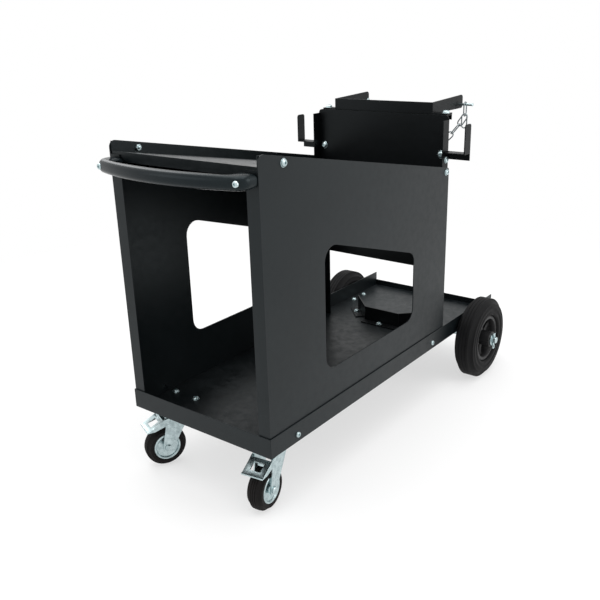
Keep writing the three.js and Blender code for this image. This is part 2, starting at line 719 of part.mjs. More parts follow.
// Brake pedal: a sloping plate with a window, cheeks outside the fork, a pivot pin and a braking tongue.
function brakePedal() {
  const rise = PEDAL_TOP_Z - PEDAL_TIP_Z;
  const along = pedalTopY - STRAP - PEDAL_TIP_Y; // clear of the fork when pressed
  const slope = Math.atan2(rise, along);
  const run = Math.hypot(rise, along);
  const plate = new THREE.BoxGeometry(2 * pedalOut, run, STRAP).translate(0, run / 2, -STRAP / 2);
  const hole = new THREE.BoxGeometry(PEDAL_WINDOW, run / 2, 4 * STRAP).translate(0, run / 2, 0);
  const lip = new THREE.BoxGeometry(2 * pedalOut, 2 * STRAP, STRAP).translate(0, 0, -STRAP / 2);
  const [board, hollow] = [plate, hole].map((piece) => {
    piece.rotateX(slope);
    return solid(piece.translate(0, PEDAL_TIP_Y, PEDAL_TIP_Z));
  });
  const edge = solid(lip.translate(0, PEDAL_TIP_Y - STRAP / 2, PEDAL_TIP_Z));
  const cheek = outline([
    [PEDAL_TIP_Y, PEDAL_TIP_Z - STRAP],
    [PEDAL_TIP_Y + PEDAL_CHEEK, PEDAL_TIP_Z - STRAP],
    [PEDAL_PIVOT_Y + PEDAL_PIN, PEDAL_PIVOT_Z - PEDAL_PIN],
    [PEDAL_PIVOT_Y + PEDAL_PIN, PEDAL_PIVOT_Z + PEDAL_PIN],
    [pedalTopY, PEDAL_TOP_Z + PEDAL_PIN / 2],
  ]);
  const tongueTop = PEDAL_TOP_Z - STRAP;
  const tongueAlong = [pedalTopY - 2 * STRAP, pedalTopY];
  const tongue = box([-PEDAL_WINDOW / 3, PEDAL_WINDOW / 3], tongueAlong, [PEDAL_TONGUE_Z, tongueTop]);
  const cheeks = [-1, 1].map((side) => slabX(cheek, side * pedalIn, side * pedalOut));
  const pin = drill(PEDAL_PIN / 2, AXIS_X, [0, PEDAL_PIVOT_Y, PEDAL_PIVOT_Z], pedalOut, 12);
  return join(cut(board, hollow), edge, tongue, pin, ...cheeks);
}

function casterTyre() {
  return tyre(
    CASTER_WHEEL / 2,
    CASTER_HUB / 2 + FIT,
    CASTER_TREAD / 2,
    CASTER_TREAD / 2 - CASTER_HUB_LIP,
    CASTER_SHOULDER_DEPTH,
    CASTER_SHOULDER_WIDTH,
    32,
  );
}

// Caster hub: two pressed discs that meet in a ring under the tyre.
function casterHub() {
  const rim = CASTER_HUB / 2;
  const edge = CASTER_TREAD / 2;
  const width = CASTER_HUB_WIDTH / 2;
  const bore = CASTER_AXLE / 2 + RUNNING;
  const boss = CASTER_AXLE;
  const dish = edge - CASTER_HUB_DISH;
  const ringIn = rim - CASTER_HUB_RING;
  const front = [
    [bore, width],
    [boss, width],
    [boss + CASTER_HUB_DISH, dish],
    [ringIn, dish],
    [ringIn + CASTER_HUB_LIP, edge],
    [rim, edge],
  ];
  const back = front.map(([radius, along]) => [radius, -along]).reverse();
  return turned([...front, ...back, front[0]], AXIS_X, [0, 0, 0], 24);
}

function casterBolt() {
  const shank = CASTER_AXLE / 2;
  const head = CASTER_BOLT_HEAD / 2;
  const seat = forkOut + FIT;
  const side = [
    [shank, seat],
    [head, seat],
    [head, seat + CASTER_BOLT_HEAD_HEIGHT / 2],
    [shank, seat + CASTER_BOLT_HEAD_HEIGHT],
    [0, seat + CASTER_BOLT_HEAD_HEIGHT],
  ];
  const other = side.map(([radius, along]) => [radius, -along]).reverse();
  return turned([...other, ...side], AXIS_X, [0, -CASTER_OFFSET, casterAxleZ], 16);
}

// Chain peg through the cradle's wing.
function chainPeg(side) {
  const inside = wingOut - STRAP - FIT;
  const tip = wingOut + PEG_REACH;
  const direction = AXIS_X.clone().multiplyScalar(side);
  return turned([
    [0, inside - STRAP],
    [PEG_HEAD / 2, inside - STRAP],
    [PEG_HEAD / 2, inside],
    [PEG / 2, inside],
    [PEG / 2, tip - STRAP],
    [PEG / 2 + PEG_KNOB, tip - STRAP / 2],
    [PEG / 2, tip],
    [0, tip],
  ], direction, [0, pegY, pegZ], 12);
}

// One chain link, lying flat with its length along X.
function chainLink() {
  const straight = (CHAIN_LENGTH - CHAIN_BREADTH) / 2;
  const loop = (radius, path) => {
    path.absarc(straight, 0, radius, -Math.PI / 2, Math.PI / 2, false);
    path.absarc(-straight, 0, radius, Math.PI / 2, (3 * Math.PI) / 2, false);
    return path;
  };
  const ring = loop(CHAIN_BREADTH / 2, new THREE.Shape());
  ring.holes.push(loop(CHAIN_BREADTH / 2 - CHAIN_WIRE, new THREE.Path()));
  const chamfer = CHAIN_WIRE * (1 - Math.SQRT1_2);
  const geometry = new THREE.ExtrudeGeometry(ring, {
    depth: CHAIN_WIRE - 2 * chamfer,
    bevelThickness: chamfer,
    bevelSize: chamfer,
    bevelOffset: -chamfer,
    bevelSegments: 1,
    curveSegments: 2,
  });
  return solid(geometry.translate(0, 0, chamfer - CHAIN_WIRE / 2));
}

function addLink(group, name, at, along, across) {
  const link = add(group, name, chainLink(), "zinc");
  const normal = along.clone().cross(across);
  link.setRotationFromMatrix(new THREE.Matrix4().makeBasis(along, across, normal));
  link.position.set(...at);
}

// Finds the catenary of a given length between two points at one height.
function catenaryScale(halfSpan, length) {
  let [low, high] = [halfSpan / 20, halfSpan * 20];
  for (let step = 0; step < 60; step += 1) {
    const middle = (low + high) / 2;
    if (2 * middle * Math.sinh(halfSpan / middle) > length) low = middle;
    else high = middle;
  }
  return high;
}

// Chain: an upright end link on each peg, a span of links between them and one spare link.
function addChain(group) {
  const hang = linkReach - CHAIN_WIRE / 2;
  const endZ = pegZ + PEG / 2 + CHAIN_SLACK - hang;
  const lowZ = endZ - linkReach;
  for (const [name, side] of sides) {
    addLink(group, `chain_end_link_${name}`, [side * chainX, pegY, endZ], AXIS_Z, AXIS_Y);
  }
  const step = 2 * linkReach - CHAIN_WIRE - CHAIN_SLACK;
  const first = linkReach - CHAIN_WIRE - CHAIN_END_SLACK;
  const length = 2 * first + (CHAIN_LINKS - 1) * step;
  const scale = catenaryScale(chainX, length);
  const dip = scale * Math.cosh(chainX / scale) - lowZ;
  for (let i = 0; i < CHAIN_LINKS; i += 1) {
    const run = first + i * step - length / 2;
    const x = scale * Math.asinh(run / scale);
    const along = new THREE.Vector3(1, 0, Math.sinh(x / scale)).normalize();
    const across = i % 2 === 0 ? AXIS_Y.clone().cross(along) : AXIS_Y;
    const name = `chain_link_${String(i + 1).padStart(2, "0")}`;
    addLink(group, name, [x, pegY + CHAIN_SHIFT, scale * Math.cosh(x / scale) - dip], along, across);
  }
  addLink(group, "chain_spare_link", [chainX, pegY - CHAIN_SHIFT, lowZ - first], AXIS_Z, AXIS_X);
}

const cart = new THREE.Group();
cart.position.y = (HANDLE_REACH - TRAY_LENGTH) / 2;

add(cart, "base_tray", baseTray(), "darkCoat");
add(cart, "top_shelf", topShelf(), "darkCoat");
add(cart, "rear_upright", rearUpright(), "blackCoat");
add(cart, "upper_bottle_cradle", upperCradle(), "blackCoat");
add(cart, "lower_bottle_cradle", lowerCradle(), "blackCoat");
add(cart, "push_handle", pushHandle(), "blackPlastic");
add(cart, "rear_axle", rearAxle(), "zinc");

for (const [name, side] of sides) {
  const outward = AXIS_X.clone().multiplyScalar(side);
  const inward = outward.clone().negate();
  add(cart, `side_panel_${name}`, sidePanel(side), "darkCoat");
  add(cart, `cable_hook_${name}`, cableHook(side), "blackCoat");
  add(cart, `axle_bracket_${name}`, axleBracket(side), "blackCoat");
  const boltSeat = [side * handleBoltX, -HANDLE_BOLT_SEAT, handleHeight];
  const boltLength = HANDLE_BOLT_SEAT + shelfFront + 3 * SHEET;
  add(cart, `handle_bolt_${name}`, buttonScrew(AXIS_Y, boltSeat, boltLength), "zinc");
  for (const [place, y] of rimScrewPlaces) {
    const seat = [side * (half + FIT), y, RIM_SCREW_HEIGHT];
    add(cart, `rim_screw_${place}_${name}`, buttonScrew(inward, seat, 4 * SHEET), "zinc");
  }
  add(cart, `chain_peg_${name}`, chainPeg(side), "zinc");

  const wheel = new THREE.Group();
  wheel.position.set(side * wheelCentre, WHEEL_PLACE, axleZ);
  add(wheel, `rear_tyre_${name}`, rearTyre(), "rubber");
  add(wheel, `rear_rim_${name}`, rearRim(side), "blackPlastic");
  cart.add(wheel);
  const washerAt = [side * washerStart, WHEEL_PLACE, axleZ];
  const washer = ringDisc(AXLE_WASHER / 2, AXLE / 2 + FIT, AXLE_WASHER_THICK, outward, washerAt);
  add(cart, `axle_washer_${name}`, washer, "zinc");
  add(cart, `split_pin_${name}`, splitPin(side * pinX), "zinc");

  const station = new THREE.Group();
  station.position.set(side * casterX, CASTER_Y, 0);
  add(station, `caster_plate_${name}`, casterPlate(), "zinc");
  add(station, `caster_king_pin_${name}`, kingPin(), "zinc");
  const swivel = new THREE.Group();
  swivel.rotation.z = side > 0 ? CASTER_RIGHT_TURN : CASTER_LEFT_TURN;
  add(swivel, `caster_fork_${name}`, casterFork(), "zinc");
  add(swivel, `caster_axle_bolt_${name}`, casterBolt(), "zinc");
  add(swivel, `caster_brake_pedal_${name}`, brakePedal(), "zinc");
  for (const [piece, body, finish] of [["tyre", casterTyre(), "rubber"], ["hub", casterHub(), "zinc"]]) {
    add(swivel, `caster_${piece}_${name}`, body, finish).position.set(0, -CASTER_OFFSET, casterAxleZ);
  }
  station.add(swivel);
  cart.add(station);
}

addChain(cart);

export default cart;
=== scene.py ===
import bmesh
import bpy
import math
import numpy as np
from mathutils import Matrix, Vector


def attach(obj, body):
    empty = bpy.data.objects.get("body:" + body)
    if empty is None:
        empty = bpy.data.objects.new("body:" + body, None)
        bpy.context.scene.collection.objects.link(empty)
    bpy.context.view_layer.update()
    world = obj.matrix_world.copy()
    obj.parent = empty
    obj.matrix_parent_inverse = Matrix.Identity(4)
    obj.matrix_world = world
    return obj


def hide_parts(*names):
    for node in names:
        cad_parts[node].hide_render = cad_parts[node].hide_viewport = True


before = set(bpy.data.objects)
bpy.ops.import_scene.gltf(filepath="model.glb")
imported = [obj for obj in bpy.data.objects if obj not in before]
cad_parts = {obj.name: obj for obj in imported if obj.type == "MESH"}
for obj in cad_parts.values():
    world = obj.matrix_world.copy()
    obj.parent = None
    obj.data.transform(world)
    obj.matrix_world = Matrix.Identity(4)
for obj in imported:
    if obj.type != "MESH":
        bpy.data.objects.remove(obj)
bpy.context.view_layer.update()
print("stage: frame loaded,", len(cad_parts), "nodes")

cartShift = -425.0  # the drawing's lengths start at the tray's front face, in mm
sideNames = {"left": -1, "right": 1}
casterPlace = (127, 63)  # king pin, across from the middle and along from the front, in mm
mergeReach = 2e-6  # points nearer to each other than this, in metres, become one
thinReach = 1e-7  # edges shorter than this, in metres, are dropped


# Turns points of the drawing, in mm, into metres in the part's own frame.
def fromDrawing(points):
    return (np.asarray(points, float) + [0, cartShift, 0]) / 1000


# Quads of a grid of points, closed along either way if asked.
def gridFaces(rows, cols, loopRows, loopCols):
    r = np.arange(rows if loopRows else rows - 1)
    c = np.arange(cols if loopCols else cols - 1)
    r, c = [g.ravel() for g in np.meshgrid(r, c, indexing="ij")]
    rn, cn = (r + 1) % rows, (c + 1) % cols
    return np.stack([r * cols + c, r * cols + cn, rn * cols + cn, rn * cols + c], 1).tolist()


def gridShape(points, loopRows=False, loopCols=False):
    rows, cols = points.shape[:2]
    return points.reshape(-1, 3), gridFaces(rows, cols, loopRows, loopCols)


# Surface of revolution: (radius, along) profile, x = radius cos t, y = radius sin t, z = along.
# sixSided marks the rows whose radius is that of a hexagon's flat: radius / cos(t modulo 60 - 30).
def spun(profile, count=48, sixSided=(), closed=False):
    profile = np.asarray(profile, float)
    t = np.arange(count) * (2 * np.pi / count)
    stretch = np.ones((len(profile), count))
    stretch[list(sixSided)] = 1 / np.cos(np.mod(t, np.pi / 3) - np.pi / 6)
    radius = profile[:, :1] * stretch
    along = np.repeat(profile[:, 1:], count, 1)
    return gridShape(np.stack([radius * np.cos(t), radius * np.sin(t), along], 2), closed, True)


# Quarter of an ellipse between two profile points, leaving along the radius, or along the axis if flipped.
def roundCorner(start, end, steps=6, flip=False):
    t = np.linspace(0, np.pi / 2, steps)[:, None]
    start, end = np.array(start, float), np.array(end, float)
    mix = np.hstack([1 - np.cos(t), np.sin(t)] if flip else [np.sin(t), 1 - np.cos(t)])
    return (start + (end - start) * mix).tolist()


# Tube: a circle carried along a path, its spokes set by the path's tangent and a fixed reference.
def tube(path, radius, sides=12, closed=False, reference=(0, 0, 1)):
    path = np.asarray(path, float)
    if closed:
        along = np.roll(path, -1, 0) - np.roll(path, 1, 0)
    else:
        along = np.gradient(path, axis=0)
    along /= np.linalg.norm(along, axis=1, keepdims=True)
    across = np.cross(along, reference)
    across /= np.linalg.norm(across, axis=1, keepdims=True)
    up = np.cross(across, along)
    t = np.arange(sides) * (2 * np.pi / sides)
    ring = across[:, None] * np.cos(t)[:, None] + up[:, None] * np.sin(t)[:, None]
    shape = gridShape(path[:, None] + radius * ring, closed, True)
    if not closed:
        last = (len(path) - 1) * sides
        shape[1].append(list(range(sides)))
        shape[1].append(list(range(last + sides - 1, last - 1, -1)))
    return shape


# Moves a shape so that its own z points along a direction from a place, in mm of the drawing.
def placed(shape, place, direction=(0, 0, 1)):
    turn = np.array(Vector(direction).to_track_quat("Z", "Y").to_matrix())
    return turnedShape(shape, turn, place)


# Moves a shape by a turn matrix and a place.
def turnedShape(shape, turn, place):
    return shape[0] @ np.asarray(turn, float).T + np.asarray(place, float), shape[1]


def addObject(name, mesh, body, finish, nodes):
    piece = bpy.data.objects.new(name, mesh)
    bpy.context.scene.collection.objects.link(piece)
    mesh.materials.clear()
    mesh.materials.append(finishes[finish])
    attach(piece, body)
    if nodes:
        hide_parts(*nodes)
    return piece


def shadeSmooth(mesh, sharpAngle):
    mesh.polygons.foreach_set("use_smooth", np.ones(len(mesh.polygons), bool))
    mesh.set_sharp_from_angle(angle=sharpAngle)


# Joins shapes, given in mm of the drawing, into one piece on a body.
def makePiece(name, shapes, body, finish, nodes=(), smooth=40):
    points, faces, start = [], [], 0
    for shapePoints, shapeFaces in shapes:
        points.append(fromDrawing(shapePoints))
        faces += [[v + start for v in face] for face in shapeFaces]
        start += len(shapePoints)
    mesh = bpy.data.meshes.new(name)
    mesh.from_pydata(np.concatenate(points).tolist(), [], faces)
    bm = bmesh.new()
    bm.from_mesh(mesh)
    bmesh.ops.remove_doubles(bm, verts=bm.verts, dist=mergeReach)
    bmesh.ops.dissolve_degenerate(bm, edges=bm.edges, dist=thinReach)
    bmesh.ops.recalc_face_normals(bm, faces=bm.faces)
    bm.to_mesh(mesh)
    bm.free()
    shadeSmooth(mesh, math.radians(smooth))
    addObject(name, mesh, body, finish, nodes)


# Copies a CAD node, merges its triangles into whole faces and rounds its edges: folds, where two broad faces
# meet, by the full width and cut edges by a share of it. A face's breadth is twice its area over its rim.
sheetEdge = {
    "sharp": math.radians(28), "flat": math.radians(0.3), "broad": 0.004, "cutShare": 0.36, "segments": 3,
}


def softenedCopy(node, body, finish, width):
    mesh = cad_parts[node].data.copy()
    mesh.name = node + "_soft"
    bm = bmesh.new()
    bm.from_mesh(mesh)
    bmesh.ops.remove_doubles(bm, verts=bm.verts, dist=mergeReach)
    bmesh.ops.dissolve_limit(bm, angle_limit=sheetEdge["flat"], verts=bm.verts, edges=bm.edges)
    bm.normal_update()
    weight = bm.edges.layers.float.new("bevel_weight_edge")
    corners = [edge for edge in bm.edges if edge.is_convex and edge.calc_face_angle(0) > sheetEdge["sharp"]]
    for edge in corners:
        breadths = [2 * face.calc_area() / face.calc_perimeter() for face in edge.link_faces]
        edge[weight] = 1.0 if min(breadths) > sheetEdge["broad"] else sheetEdge["cutShare"]
    bm.to_mesh(mesh)
    bm.free()
    if mesh.has_custom_normals:
        mesh.attributes.remove(mesh.attributes["custom_normal"])
    shadeSmooth(mesh, sheetEdge["sharp"])
    piece = addObject(node + "_soft", mesh, body, finish, [node])
    bevel = piece.modifiers.new("edges", "BEVEL")
    bevel.width = width
    bevel.segments = sheetEdge["segments"]
    bevel.limit_method = "WEIGHT"
    bevel.use_clamp_overlap = True


# One socket in a material. Sums and products add Math nodes, and make adds any other node.
class Wire:
    def __init__(self, tree, socket=None):
        self.tree, self.socket = tree, socket

    def make(self, kind, settings=None, sockets=None, out=0):
        node = self.tree.nodes.new("ShaderNode" + kind)
        for name, value in (settings or {}).items():
            setattr(node, name, value)
        for name, value in (sockets or {}).items():
            if isinstance(value, Wire):
                self.tree.links.new(value.socket, node.inputs[name])
            else:
                node.inputs[name].default_value = value
        return Wire(self.tree, node.outputs[out])

    def maths(self, operation, first, second):
        return self.make("Math", {"operation": operation}, {0: first, 1: second})

    def __add__(self, other):
        return self.maths("ADD", self, other)

    def __radd__(self, other):
        return self.maths("ADD", other, self)

    def __mul__(self, other):
        return self.maths("MULTIPLY", self, other)

    def __rmul__(self, other):
        return self.maths("MULTIPLY", other, self)

    def feed(self, shader, socket):
        self.tree.links.new(self.socket, shader.inputs[socket])


def newFinish(name):
    material = bpy.data.materials.new(name)
    material.use_nodes = True
    tree = material.node_tree
    return material, Wire(tree), tree.nodes["Principled BSDF"]


# Noise by its scale, detail and roughness, drawn out along the axes if a stretch is given.
def noise(start, where, scale, detail, roughness=0.5, stretch=None):
    if stretch:
        where = start.make("Mapping", None, {"Vector": where, "Scale": stretch})
    sockets = {"Vector": where, "Scale": scale, "Detail": detail, "Roughness": roughness}
    return start.make("TexNoise", None, sockets)


# Passes a value through a straight ramp between two limits.
def between(start, value, low, high, toLow=0.0, toHigh=1.0):
    sockets = {"Value": value, "From Min": low, "From Max": high, "To Min": toLow, "To Max": toHigh}
    return start.make("MapRange", {"clamp": True}, sockets)


# Mixes two colours: inputs 6 and 7 and output 2 are the Mix node's colour sockets.
def mixColour(start, amount, first, second):
    sockets = {"Factor": amount, 6: first, 7: second}
    return start.make("Mix", {"data_type": "RGBA"}, sockets, out=2)


def addBump(start, shader, height, strength, distance):
    sockets = {"Height": height, "Strength": strength, "Distance": distance}
    start.make("Bump", None, sockets).feed(shader, "Normal")


# Powder coat: a soft orange peel, slow changes of tone, a little dust on level faces and fine scuffs.
coatLook = {
    "darkCoat": {
        "base": (0.0018, 0.003, 0.0037, 1), "worn": (0.004, 0.0058, 0.0068, 1),
        "dust": (0.024, 0.028, 0.03, 1), "shine": 0.27,
    },
    "blackCoat": {
        "base": (0.0014, 0.0016, 0.0019, 1), "worn": (0.003, 0.0033, 0.0038, 1),
        "dust": (0.012, 0.013, 0.014, 1), "shine": 0.16,
    },
    "slow": (5, 4), "mottle": (70, 5, 0.6), "scuff": (60, 6, 0.7, (1.0, 0.25, 3.5)), "peel": (620, 2),
    "wornRange": (0.35, 0.7), "scuffRange": (0.63, 0.74), "levelRange": (0.75, 1.0),
    "dustRange": (0.85, 1.35), "scuffShare": 0.35, "dustShare": 0.55, "scuffRough": 0.08, "dustRough": 0.2,
    "rough": (0.3, 0.42), "roughRange": (0.3, 0.7), "bump": (0.35, 0.00022), "tint": (0.86, 0.97, 1.0, 1),
}


def powderCoat(name):
    look = coatLook | coatLook[name]
    material, start, shader = newFinish(name)
    where = start.make("TexCoord", out="Object")
    slow = noise(start, where, *look["slow"])
    mottle = noise(start, where, *look["mottle"])
    scuffs = between(start, noise(start, where, *look["scuff"]), *look["scuffRange"])
    facing = start.make("SeparateXYZ", None, {0: start.make("NewGeometry", out="Normal")}, out="Z")
    level = between(start, facing, *look["levelRange"])
    dust = level * between(start, mottle + slow, *look["dustRange"]) * look["dustShare"]
    tone = mixColour(start, between(start, slow, *look["wornRange"]), look["base"], look["worn"])
    tone = mixColour(start, scuffs * look["scuffShare"], tone, look["dust"])
    mixColour(start, dust, tone, look["dust"]).feed(shader, "Base Color")
    matt = between(start, mottle, *look["roughRange"], *look["rough"])
    (matt + scuffs * look["scuffRough"] + dust * look["dustRough"]).feed(shader, "Roughness")
    addBump(start, shader, noise(start, where, *look["peel"]), *look["bump"])
    shader.inputs["Specular IOR Level"].default_value = look["shine"]
    shader.inputs["Specular Tint"].default_value = look["tint"]
    return material


# Zinc plate: cloudy grain, brushed streaks and duller patches.
zincLook = {
    "zincPlate": {"bright": (0.6, 0.71, 0.725, 1), "dull": (0.36, 0.445, 0.46, 1)},
    "chainZinc": {"bright": (0.36, 0.4, 0.41, 1), "dull": (0.15, 0.17, 0.18, 1)},
    "cloud": (110, 4, 0.6), "streak": (160, 3, 0.6, (1.0, 1.0, 8.0)), "cloudShare": 0.7, "streakShare": 0.3,
    "patchRange": (0.36, 0.64), "rough": (0.4, 0.2), "roughRange": (0.3, 0.7), "bump": (0.12, 0.0002),
}


def zincCoat(name):
    look = zincLook | zincLook[name]
    material, start, shader = newFinish(name)
    where = start.make("TexCoord", out="Object")
    cloud = noise(start, where, *look["cloud"])
    streak = noise(start, where, *look["streak"])
    patch = between(start, cloud * look["cloudShare"] + streak * look["streakShare"], *look["patchRange"])
    mixColour(start, patch, look["dull"], look["bright"]).feed(shader, "Base Color")
    between(start, cloud, *look["roughRange"], *look["rough"]).feed(shader, "Roughness")
    addBump(start, shader, streak, *look["bump"])
    shader.inputs["Metallic"].default_value = 1.0
    return material


# Rubber: matt, with a mottled bloom and a fine grain.
rubberLook = {
    "tyreRubber": {"deep": (0.0025, 0.0025, 0.0028, 1), "pale": (0.008, 0.008, 0.0085, 1)},
    "casterRubber": {"deep": (0.004, 0.0034, 0.0033, 1), "pale": (0.0115, 0.0098, 0.0095, 1)},
    "bloom": (35, 5, 0.65), "grain": (900, 2), "paleRange": (0.35, 0.75), "rough": (0.58, 0.78),
    "roughRange": (0.3, 0.7), "bump": (0.3, 0.0003), "shine": 0.15,
}


def matRubber(name):
    look = rubberLook | rubberLook[name]
    material, start, shader = newFinish(name)
    where = start.make("TexCoord", out="Object")
    bloom = noise(start, where, *look["bloom"])
    amount = between(start, bloom, *look["paleRange"])
    mixColour(start, amount, look["deep"], look["pale"]).feed(shader, "Base Color")
    between(start, bloom, *look["roughRange"], *look["rough"]).feed(shader, "Roughness")
    addBump(start, shader, noise(start, where, *look["grain"]), *look["bump"])
    shader.inputs["Specular IOR Level"].default_value = look["shine"]
    return material


# Moulded plastic: fine spark grain and a slight change of gloss.
plasticLook = {
    "gripPlastic": {
        "base": (0.004, 0.006, 0.0075, 1), "lift": (0.006, 0.0088, 0.0102, 1), "rough": (0.22, 0.28),
        "shine": 0.2, "tint": (0.8, 0.95, 1.0, 1),
    },
    "rimPlastic": {
        "base": (0.006, 0.006, 0.0065, 1), "lift": (0.014, 0.014, 0.015, 1), "rough": (0.36, 0.5),
        "shine": 0.3, "tint": (1, 1, 1, 1),
    },
    "slow": (22, 4), "grain": (1100, 2), "liftRange": (0.35, 0.7), "roughRange": (0.3, 0.7),
    "bump": (0.12, 0.0002),
}


def mouldedPlastic(name):
    look = plasticLook | plasticLook[name]
    material, start, shader = newFinish(name)
    where = start.make("TexCoord", out="Object")
    slow = noise(start, where, *look["slow"])
    amount = between(start, slow, *look["liftRange"])
    mixColour(start, amount, look["base"], look["lift"]).feed(shader, "Base Color")
    between(start, slow, *look["roughRange"], *look["rough"]).feed(shader, "Roughness")
    addBump(start, shader, noise(start, where, *look["grain"]), *look["bump"])
    shader.inputs["Specular IOR Level"].default_value = look["shine"]
    shader.inputs["Specular Tint"].default_value = look["tint"]
    return material


finishes = {
    "darkCoat": powderCoat("darkCoat"),
    "blackCoat": powderCoat("blackCoat"),
    "zincPlate": zincCoat("zincPlate"),
    "chainZinc": zincCoat("chainZinc"),
    "tyreRubber": matRubber("tyreRubber"),
    "casterRubber": matRubber("casterRubber"),
    "gripPlastic": mouldedPlastic("gripPlastic"),
    "rimPlastic": mouldedPlastic("rimPlastic"),
}
print("stage: finishes made")

# Folded sheet, with its cut edges and folds eased
foldedSheet = {
    "darkCoat": ["base_tray", "side_panel_left", "side_panel_right", "top_shelf"],
    "blackCoat": ["rear_upright", "upper_bottle_cradle", "lower_bottle_cradle", "cable_hook_left",
                  "cable_hook_right", "axle_bracket_left", "axle_bracket_right"],
    "edge": 0.0024,
}
for coat in ("darkCoat", "blackCoat"):
    for nodeName in foldedSheet[coat]:
        softenedCopy(nodeName, "cart_frame", coat, foldedSheet["edge"])
print("stage: folded sheet")

# Push handle: plan curves as quadratics, raised to a bar that is rounded all over
handle = {
    "halfWidth": 174, "reach": 62, "endReach": 30, "block": 34, "grip": 24, "gripEndBack": 25, "straight": 12,
    "corner": 16, "height": 627, "section": 25, "round": 10, "seat": 2.0,
    "frontSteps": 61, "backSteps": 41, "cornerSteps": 9,
}


# Quadratic curve through a start and an end, pulled to a control point, over part of its length.
def bow(start, pull, end, count, first=0.0, last=1.0):
    t = np.linspace(first, last, count)[:, None]
    start, pull, end = [np.array(p, float) for p in (start, pull, end)]
    return (1 - t) ** 2 * start + 2 * t * (1 - t) * pull + t ** 2 * end


# Plan of the bar: two blocks against the panels, a back curve between them and a front curve over all.
def handlePlan(look):
    w, reach, endReach, seat = look["halfWidth"], look["reach"], look["endReach"], look["seat"]
    inner = w - look["block"]
    gripEnd = inner - look["block"] / 2
    backY = -look["gripEndBack"]
    gripBack = reach - look["grip"]
    side = -endReach + look["corner"]
    share = look["corner"] / (2 * w)
    steps = look["cornerSteps"]
    frontPull, backPull = [0, endReach - 2 * reach], [0, -backY - 2 * gripBack]
    front = bow([-w, -endReach], frontPull, [w, -endReach], look["frontSteps"], share, 1 - share)
    back = bow([gripEnd, backY], backPull, [-gripEnd, backY], look["backSteps"])
    return np.concatenate([
        [[w, seat], [inner, seat]],
        bow([inner, -look["straight"]], [inner, backY], [gripEnd, backY], steps),
        back[1:],
        bow([-gripEnd, backY], [-inner, backY], [-inner, -look["straight"]], steps)[1:],
        [[-inner, seat], [-w, seat]],
        bow([-w, side], [-w, -endReach], front[0], steps),
        front[1:],
        bow(front[-1], [w, -endReach], [w, side], steps)[1:],
    ])


# Rounded bar: the outline moved in by radius x (1 - cos t) at heights that follow radius x sin t.
def roundedBar(outline, middle, height, radius, steps=8):
    outline = np.asarray(outline, float)
    after = np.roll(outline, -1, 0)
    ahead = after - outline
    turn = np.sign(np.sum(outline[:, 0] * after[:, 1] - outline[:, 1] * after[:, 0]))
    normal = turn * np.stack([-ahead[:, 1], ahead[:, 0]], 1) / np.linalg.norm(ahead, axis=1, keepdims=True)
    before = np.roll(normal, 1, 0)
    miter = (normal + before) / (1 + np.sum(normal * before, 1, keepdims=True))
    t = np.concatenate([np.linspace(-np.pi / 2, 0, steps), np.linspace(0, np.pi / 2, steps)])
    lift = np.repeat([-1.0, 1.0], steps) * (height / 2 - radius)
    inset = radius * (1 - np.cos(t))
    flat = outline[None] + inset[:, None, None] * miter[None]
    level = np.repeat((middle + lift + radius * np.sin(t))[:, None], len(outline), 1)
    shape = gridShape(np.concatenate([flat, level[:, :, None]], 2), False, True)
    count, last = len(outline), (len(t) - 1) * len(outline)
    shape[1].append(list(range(count - 1, -1, -1)))
    shape[1].append(list(range(last, last + count)))
    return shape


bar = roundedBar(handlePlan(handle), handle["height"], handle["section"], handle["round"])
makePiece("handle_bow", [bar], "cart_frame", "gripPlastic", ["push_handle"], smooth=35)
print("stage: handle")

# Screws: button heads with a six-sided socket, most of them over a thin washer, and nuts
screwLook = {
    "head": 6.5, "height": 3.7, "socket": 2.2, "socketDepth": 2.1, "crown": 1.2, "rim": 0.7,
    "washer": 7.6, "washerThick": 0.9, "washerEase": 0.3, "sides": 36,
}
bareScrew = screwLook | {"head": 5.7}
hookScrew = screwLook | {
    "head": 7.5, "height": 4.6, "socket": 2.6, "socketDepth": 2.4, "washer": 8.8, "washerThick": 1.2,
}
nutLook = {
    "flat": 6.5, "thick": 5.5, "shank": 3.9, "proud": 3.0, "chamfer": 0.8, "topShare": 0.93, "endEase": 0.7,
    "sides": 36,
}
lipNut = nutLook | {"flat": 5.5, "thick": 4.8, "shank": 3.0}
floorNut = lipNut | {"proud": 1.5}


# Head profile: socket floor, socket wall, dome as a quarter ellipse, rim and seat.
def buttonHead(look, washer=True):
    head, socket = look["head"], look["socket"]
    seat = look["washerThick"] if washer else 0.0
    top = seat + look["height"]
    floor = top - look["socketDepth"]
    dome = roundCorner((socket + look["crown"], top), (head, seat + look["rim"]), 7)
    profile = [(0, floor), (socket, floor), (socket, top), *dome, (head, seat), (0, seat)]
    shapes = [spun(profile, look["sides"], sixSided=(1, 2))]
    if washer:
        edge, ease = look["washer"], look["washerEase"]
        ring = [(0, seat), (edge - ease, seat), (edge, seat - ease), (edge, 0), (0, 0)]
        shapes.append(spun(ring, look["sides"]))
    return shapes


# Six-sided nut with a chamfered top and the screw's end standing out of it.
def hexNut(look):
    flat, thick, shank, ease = look["flat"], look["thick"], look["shank"], look["endEase"]
    tip = thick + look["proud"]
    topFlat = flat * look["topShare"]
    nut = [(0, 0), (flat, 0), (flat, thick - look["chamfer"]), (topFlat, thick), (shank, thick)]
    end = [(shank, thick), (shank, tip - ease), (shank - ease, tip), (0, tip)]
    return [spun(nut + end, look["sides"], sixSided=(1, 2))]


def setOf(shapes, places, direction):
    return [placed(shape, place, direction) for place in places for shape in shapes]


